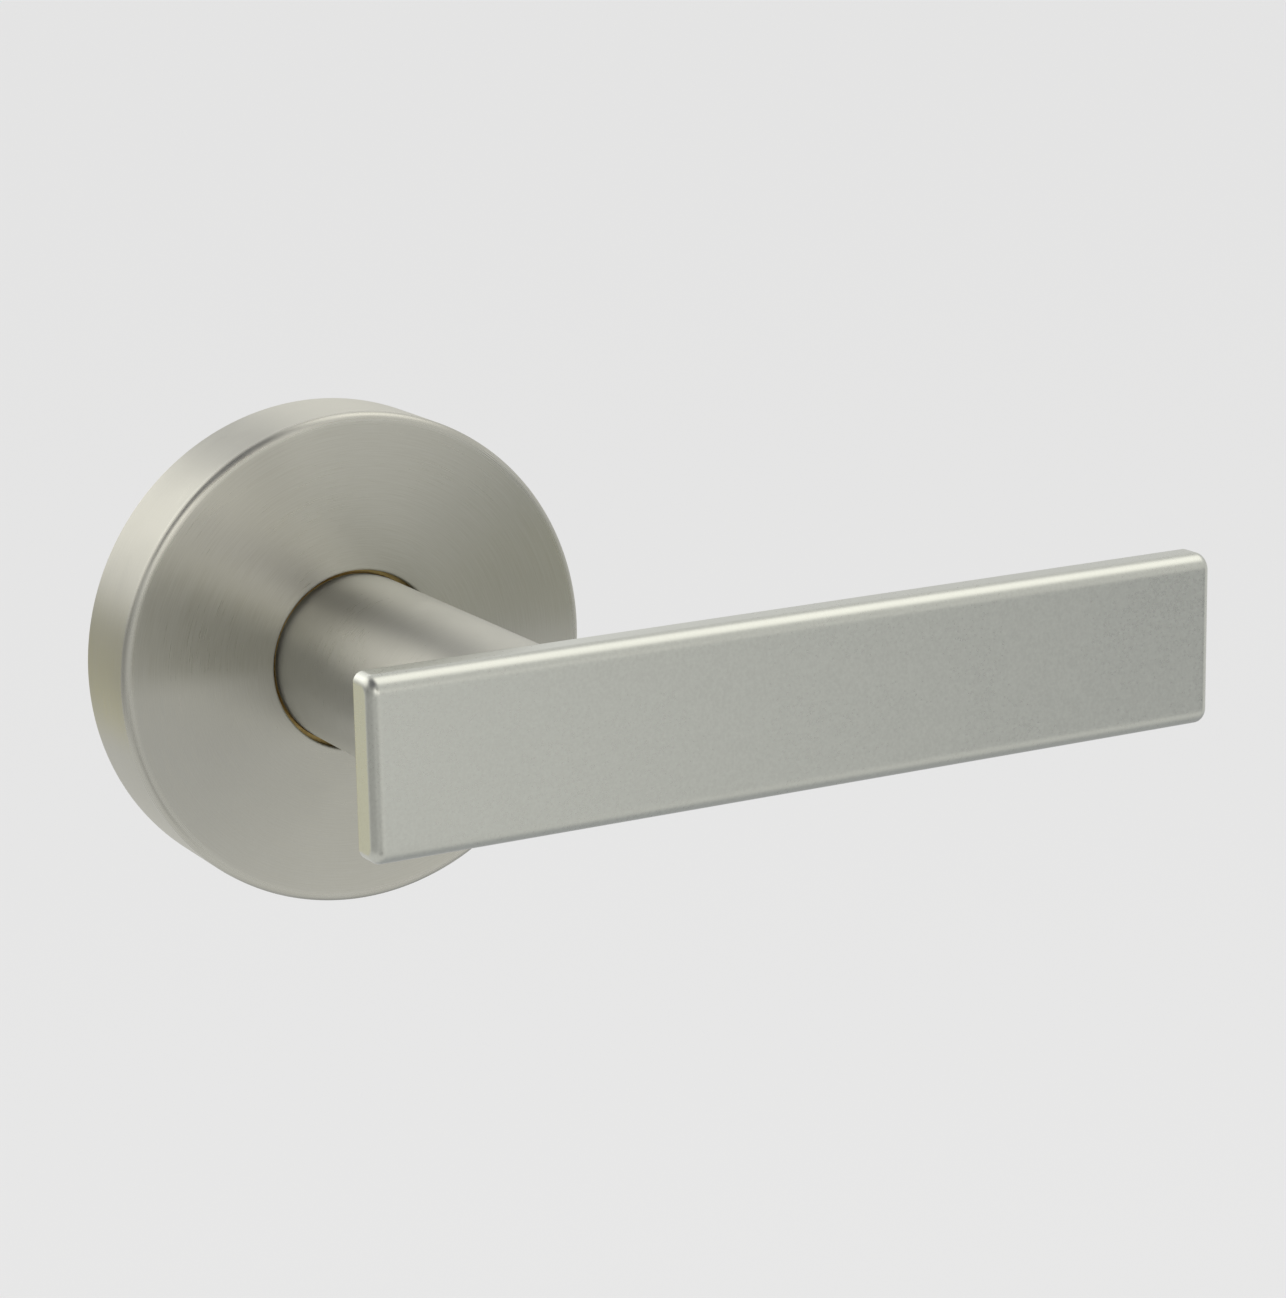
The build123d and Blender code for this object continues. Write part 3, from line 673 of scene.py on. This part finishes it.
brushed_steel, tree, shader = new_finish("brushed_neck_stainless")
turn_marks, _ = turned_grain(tree, 9000)
tint(tree, shader, turn_marks, (0.505, 0.50, 0.445), (0.55, 0.545, 0.49))
roughen(tree, shader, turn_marks, 0.28, 0.36, 70, 0.02)
emboss(tree, shader, turn_marks, 0.002, 0.5)
comb(tree, shader, 1.0)
neck_radius, shoulder, neck_sides = 11.3, 11.4, 192
journal_radius, journal_back = 7.3, 0.2
clip_radius, clip_back, clip_front = 6.5, 1.0, 2.0
bar_back, spigot_radius, spigot_end = 58.9, 8.0, 61.9
square_half, square_end, square_mouth, square_mouth_scale = 4.05, 37.0, 0.4, 1.04
neck_outline = [
    (square_half, journal_back), (journal_radius, journal_back), (journal_radius, clip_back),
    (clip_radius, clip_back), (clip_radius, clip_front), (journal_radius, clip_front),
    (journal_radius, shoulder), (neck_radius, shoulder), (neck_radius, bar_back),
    (spigot_radius, bar_back), (spigot_radius, spigot_end), (0, spigot_end),
]
neck_rounding = [0, 0.25, 0.06, 0.05, 0.05, 0.06, 0.2, 0.12, 0.06, 0.2, 0.3, 0]
# The first corner's points give way to the square hole, whose radius is its half width over the larger of
# the angle's cosine and sine.
corner_points = 8
neck_profile = eased(neck_outline, neck_rounding)[corner_points:]
neck_angle = np.arange(neck_sides) * (2 * np.pi / neck_sides)
square = square_half / np.maximum(np.abs(np.cos(neck_angle)), np.abs(np.sin(neck_angle)))
hole_radius = np.stack([0 * square, square, square, square * square_mouth_scale])
hole_depth = np.array([[square_end], [square_end], [square_mouth], [journal_back]])
stem_radius = np.repeat(neck_profile[:, :1], neck_sides, axis=1)
neck_grid = circles(
    np.concatenate([hole_radius, stem_radius]),
    np.concatenate([hole_depth, neck_profile[:, 1:]]),
    sides=neck_sides,
)
neck_mesh = skin("lever_neck_finish", neck_grid)
dowel_hole_start = 9.0
dowel_holes = ring_corners(0, pin_radius, dowel_hole_start, dowel_end)
neck_mesh = cut_away(neck_mesh, turned("dowel_holes", dowel_holes, 0, False, dowel_places, pin_sides))
set_screw_radius, screw_hole_start, screw_hole_end, screw_hole_sides = 2.5, 3.0, 14.0, 64
screw_hole = np.array(ring_corners(0, set_screw_radius, screw_hole_start, screw_hole_end))
screw_hole = from_below(circles(screw_hole[:, :1], screw_hole[:, 1:], sides=screw_hole_sides))
neck_mesh = cut_away(neck_mesh, skin("set_screw_hole", screw_hole))
lever_neck = finished(neck_mesh, "lever_neck", "lever", brushed_steel)


# Set screw: the hexagon-socket screw from under the neck, whose chamfered tip bites on the spindle.
# It is turned from alloy steel and blackened.
black_oxide, tree, shader = new_finish("black_oxide")
oxide = even_grain(tree, 900, 5.0)
tint(tree, shader, oxide, (0.030, 0.029, 0.030), (0.075, 0.070, 0.066))
roughen(tree, shader, oxide, 0.32, 0.46, 150, 0.05)
emboss(tree, shader, oxide, 0.01, 0.5)
# The socket's radius is half its width over the cosine of the angle from the middle of the nearest flat.
hex_sides, hex_half = 96, 1.25
hex_angle = np.arange(hex_sides) * (2 * np.pi / hex_sides)
hexagon = hex_half / np.cos((hex_angle + np.pi / 6) % (np.pi / 3) - np.pi / 6)
tip_radius, tip_depth, tip_end, screw_face = 1.7, 4.0, 4.8, 10.8
screw_corners = [(tip_radius, tip_depth), (set_screw_radius, tip_end), (set_screw_radius, screw_face)]
screw_outline = eased(screw_corners, (0.1, 0.1, 0.25))[1:]
screw_radius = np.concatenate([np.zeros((1, 1)), screw_outline[:, :1]])
screw_depth = np.concatenate([[[tip_depth]], screw_outline[:, 1:]])
socket_mouth, socket_mouth_scale, socket_floor, socket_point = 10.65, 1.06, 7.8, 7.4
socket_radius = np.stack([hexagon * socket_mouth_scale, hexagon, hexagon, 0 * hexagon])
socket_depth = np.array([[screw_face], [socket_mouth], [socket_floor], [socket_point]])
set_screw_grid = circles(
    np.concatenate([np.repeat(screw_radius, hex_sides, axis=1), socket_radius]),
    np.concatenate([screw_depth, socket_depth]),
    sides=hex_sides,
)
set_screw_mesh = skin("set_screw_finish", from_below(set_screw_grid))
set_screw = finished(set_screw_mesh, "set_screw", "lever", black_oxide, screw_sharp_angle)


# Shim washer and retaining ring: the thin steel washer behind the bush, and the circlip sprung into the
# journal's groove behind it, which keep the lever from being pulled out. Both are punched, and the clip is
# blackened.
shim_radius, shim_front = 10.0, 2.5
shim_outline = ring_corners(journal_radius, shim_radius, clip_front, shim_front)
shim_mesh = turned("shim_washer_finish", shim_outline, 0.08)
shim_washer = finished(shim_mesh, "shim_washer", "lever", drawn_wire)
clip_mesh = merged_copy("retaining_ring")
retaining_ring = finished(clip_mesh, "retaining_ring", "lever", black_oxide)
ease_edges(retaining_ring, 0.1)


# Lever bar: the flat stainless grip, milled from solid bar. Its long front edges are rounded wide, its ends
# less, its back edges are only eased, and it is blasted and rubbed to an even satin with no direction. A blind
# bore in its back takes the neck's spigot.
def rounded_rectangle(half_width, half_height, upper, lower, corner_steps=12, long_steps=64, short_steps=8):
    """Points round a rectangle about (0, 0), its corners quarter circles of an upper and a lower radius, with
    straight sides between them. There are always as many points, so outlines of different sizes match."""
    turn = np.arange(4)[:, None] * np.pi / 2 + np.linspace(0, np.pi / 2, corner_steps + 1)
    radius = np.array([upper, upper, lower, lower])[:, None]
    x = np.array([1, -1, -1, 1])[:, None] * (half_width - radius) + radius * np.cos(turn)
    z = np.array([1, 1, -1, -1])[:, None] * (half_height - radius) + radius * np.sin(turn)
    corners = np.stack([x, z], axis=-1)
    gaps = np.roll(corners[:, 0], -1, axis=0) - corners[:, -1]
    outline = []
    for corner, gap, steps in zip(corners, gaps, (long_steps, short_steps, long_steps, short_steps)):
        outline += [corner, corner[-1] + gap * np.linspace(0, 1, steps + 1)[1:-1, None]]
    return np.concatenate(outline)


bar_left, bar_length, bar_height, bar_front = -21.9, 120.4, 22.9, 63.9
front_radius, back_radius, end_radius = 2.2, 0.5, 1.4
least_front, least_back = 0.1, 0.05


def bar_section(inset):
    """The bar's cross-section as (height, depth) points: a rectangle with two front and two back radii, drawn
    in by an inset above, below and in front, and by as large a share of the back radius behind."""
    behind = back_radius * inset / end_radius
    thickness = bar_front - bar_back - inset - behind
    outline = rounded_rectangle(
        bar_height / 2 - inset,
        thickness / 2,
        max(front_radius - inset, least_front),
        max(back_radius - behind, least_back),
    )
    return outline + (0, bar_back + behind + thickness / 2)


# Sections along the bar: at each end they reach inwards and grow along a quarter circle of the end's radius,
# and the outermost one shrinks to a line that closes the end.
end_rows, middle_rows, middle_margin, closing_line = 19, 40, 2, 3.5
on_the_end, beside_the_end = np.array([0.5, 0.5, 0.1]), np.array([0.1, 0.4])
end_turn = np.linspace(np.pi / 2, 0, end_rows)
reach = np.concatenate([0 * on_the_end, end_radius * (1 - np.sin(end_turn)), end_radius + beside_the_end])
inset = np.concatenate([end_radius + on_the_end, end_radius * (1 - np.cos(end_turn)), 0 * beside_the_end])
margin = end_radius + middle_margin
middle = np.linspace(bar_left + margin, bar_left + bar_length - margin, middle_rows)
row_place = np.concatenate([bar_left + reach, middle, bar_left + bar_length - reach[::-1]])
row_inset = np.concatenate([inset, 0 * middle, inset[::-1]])
sections = np.stack([bar_section(step) for step in row_inset])
line_end = bar_height / 2 - closing_line
sections[[0, -1], :, 0] = np.clip(sections[[0, -1], :, 0], -line_end, line_end)
sections[[0, -1], :, 1] = (bar_back + bar_front) / 2
bar_grid = np.stack([row_place[:, None] + 0 * sections[..., 0], -sections[..., 1], sections[..., 0]], axis=-1)
spigot_bore = ring_corners(0, spigot_radius, bar_back - 1, spigot_end)
bar_mesh = cut_away(skin("lever_bar_finish", bar_grid[None]), turned("spigot_bore", spigot_bore, 0, False))
satin_bar, tree, shader = new_finish("satin_bar_stainless")
satin = even_grain(tree, 2400, 3.0)
tint(tree, shader, satin, (0.555, 0.56, 0.505), (0.605, 0.615, 0.555), 0.3, 0.7)
roughen(tree, shader, satin, 0.27, 0.33, 45, 0.015)
emboss(tree, shader, satin, 0.002, 0.5)
lever_bar = finished(bar_mesh, "lever_bar", "lever", satin_bar)


# Floor: a plain pale sheet, painted matt, far below the handle, which hangs in the air as it does on its door.
# Seen directly it has a share of even light of its own, and the rest of it keeps the handle's shadow.
def grey(level):
    """A colour with the same red, green and blue."""
    return (level, level, level, 1)


floor_half, floor_height = 12.0, -0.30  # metres
floor_paint, floor_light, lit_share = 0.8, 0.815, 0.75
floor_mesh = bpy.data.meshes.new("floor")
floor_corners = np.array([(-1, -1), (1, -1), (1, 1), (-1, 1)]) * floor_half
floor_mesh.from_pydata([(x, y, floor_height) for x, y in floor_corners], [], [(0, 1, 2, 3)])
floor = bpy.data.objects.new("floor", floor_mesh)
bpy.context.scene.collection.objects.link(floor)
floor.visible_glossy = False
floor_sheet = bpy.data.materials.new("pale_sheet")
floor_sheet.use_nodes = True
tree = floor_sheet.node_tree
tree.nodes.clear()
output = tree.nodes.new("ShaderNodeOutputMaterial")
ray = tree.nodes.new("ShaderNodeLightPath")
matt = tree.nodes.new("ShaderNodeBsdfDiffuse")
matt.inputs["Color"].default_value = grey(floor_paint)
glow = tree.nodes.new("ShaderNodeEmission")
glow.inputs["Color"].default_value = grey(floor_light)
sheet = tree.nodes.new("ShaderNodeMixShader")
shade = tree.nodes.new("ShaderNodeMath")
shade.operation = "MULTIPLY"
shade.inputs[1].default_value = lit_share
tree.links.new(ray.outputs["Is Camera Ray"], shade.inputs[0])
tree.links.new(shade.outputs["Value"], sheet.inputs["Fac"])
tree.links.new(matt.outputs[0], sheet.inputs[1])
tree.links.new(glow.outputs[0], sheet.inputs[2])
tree.links.new(sheet.outputs[0], output.inputs["Surface"])
floor_mesh.materials.append(floor_sheet)


# Studio: a pale tent round the handle, with soft panels of more or less light in it, which the metal shows.
# One soft lamp hangs overhead. Seen directly, the tent is plain and pale.
pale = 0.783
scene = bpy.context.scene
scene.view_settings.view_transform = "Standard"
world = bpy.data.worlds.new("studio")
scene.world = world
world.use_nodes = True
tree = world.node_tree
tent = tree.nodes["Background"]
place = tree.nodes.new("ShaderNodeTexCoord")
ray = tree.nodes.new("ShaderNodeLightPath")
seen = tree.nodes.new("ShaderNodeMix")
seen.data_type = "RGBA"
seen.inputs["B"].default_value = grey(pale)


def panel(light, towards, inner, outer, amount):
    """Adds a soft round panel to the tent's light: full within the inner angle from its middle, none past the
    outer angle, and a smooth step between. The amount is linear red, green and blue, and may be negative."""
    nearness = tree.nodes.new("ShaderNodeVectorMath")
    nearness.operation = "DOT_PRODUCT"
    nearness.inputs[1].default_value = Vector(towards).normalized()
    tree.links.new(place.outputs["Generated"], nearness.inputs[0])
    edge = tree.nodes.new("ShaderNodeMapRange")
    edge.interpolation_type = "SMOOTHSTEP"
    edge.inputs["From Min"].default_value = math.cos(math.radians(outer))
    edge.inputs["From Max"].default_value = math.cos(math.radians(inner))
    tree.links.new(nearness.outputs["Value"], edge.inputs["Value"])
    colour = tree.nodes.new("ShaderNodeVectorMath")
    colour.operation = "SCALE"
    colour.inputs[0].default_value = amount
    tree.links.new(edge.outputs["Result"], colour.inputs["Scale"])
    total = tree.nodes.new("ShaderNodeVectorMath")
    total.operation = "ADD"
    tree.links.new(light, total.inputs[0])
    tree.links.new(colour.outputs["Vector"], total.inputs[1])
    return total.outputs["Vector"]


even_light = tree.nodes.new("ShaderNodeCombineXYZ")
for channel in even_light.inputs:
    channel.default_value = pale
tent_light = even_light.outputs["Vector"]
# Each panel's direction, its inner and outer angle in degrees, and the light that it adds.
for towards, inner, outer, amount in (
    ((0.44, -0.04, 0.89), 9, 33, (0.92, 0.90, 0.86)),
    ((-0.55, 0.68, 0.48), 11, 32, (0.92, 0.90, 0.86)),
    ((0.0, 0.97, 0.22), 9, 31, (0.86, 0.86, 0.86)),
    ((0.10, -0.96, 0.24), 5, 18, (0.80, 0.77, 0.74)),
    ((-0.32, -0.88, 0.34), 6, 19, (0.95, 0.92, 0.88)),
    ((-0.35, -0.20, 0.91), 12, 49, (-0.60, -0.60, -0.58)),
    ((-0.96, -0.26, 0.05), 11, 45, (-0.32, -0.32, -0.32)),
    ((0.70, -0.69, -0.16), 10, 21, (-0.36, -0.35, -0.33)),
    ((-0.01, -0.88, 0.47), 4, 16, (-0.72, -0.72, -0.72)),
    ((0.50, 0.25, -0.83), 12, 46, (-0.30, -0.29, -0.27)),
    ((-0.85, 0.52, 0.07), 9, 37, (-0.36, -0.36, -0.36)),
    ((-0.18, 0.955, -0.20), 7, 13, (0.10, 0.00, -0.65)),
    ((-0.36, -0.78, -0.52), 8, 24, (-0.35, -0.35, -0.35)),
    ((0.40, -0.89, -0.22), 5, 15, (0.11, 0.11, 0.11)),
):
    tent_light = panel(tent_light, towards, inner, outer, amount)
tree.links.new(ray.outputs["Is Camera Ray"], seen.inputs["Factor"])
tree.links.new(tent_light, seen.inputs["A"])
tree.links.new(seen.outputs["Result"], tent.inputs["Color"])
lamp_place, lamp_aim = Vector((0.15, -0.15, 0.9)), Vector((0.03, -0.03, 0))
lamp_light = bpy.data.lights.new("overhead_lamp", "AREA")
lamp_light.shape = "RECTANGLE"
lamp_light.size, lamp_light.size_y = 0.9, 0.6
lamp_light.energy = 3.0
lamp = bpy.data.objects.new("overhead_lamp", lamp_light)
lamp.location = lamp_place
lamp.rotation_euler = (lamp_aim - lamp_place).to_track_quat("-Z", "Y").to_euler()
lamp.visible_glossy = False
scene.collection.objects.link(lamp)


# Camera: the photograph's own view, found from the outlines of the rose, the neck and the bar.
# It looks from the left and a little above, with a long lens.
view_azimuth = math.radians(-28.62)
view_elevation = math.radians(13.915)
view_roll = math.radians(-1.101)
view_distance = 531.9 * MM
view_target = Vector((48.974, 0.0, -7.808)) * MM
focal_pixels = 3821.7
image_height = 1298
sensor = 36.0
back = Vector(
    (
        math.sin(view_azimuth) * math.cos(view_elevation),
        -math.cos(view_azimuth) * math.cos(view_elevation),
        math.sin(view_elevation),
    )
)
level_right = Vector((0, 0, 1)).cross(back).normalized()
level_up = back.cross(level_right)
right = level_right * math.cos(view_roll) + level_up * math.sin(view_roll)
up = back.cross(right)
camera_data = bpy.data.cameras.new("camera")
camera_data.sensor_fit = "VERTICAL"
camera_data.sensor_height = sensor
camera_data.lens = sensor * focal_pixels / image_height
camera_data.clip_start = 0.01
camera = bpy.data.objects.new("camera", camera_data)
facing = Matrix((right, up, back)).transposed().to_4x4()
camera.matrix_world = Matrix.Translation(view_target + back * view_distance) @ facing
scene.collection.objects.link(camera)
scene.camera = camera
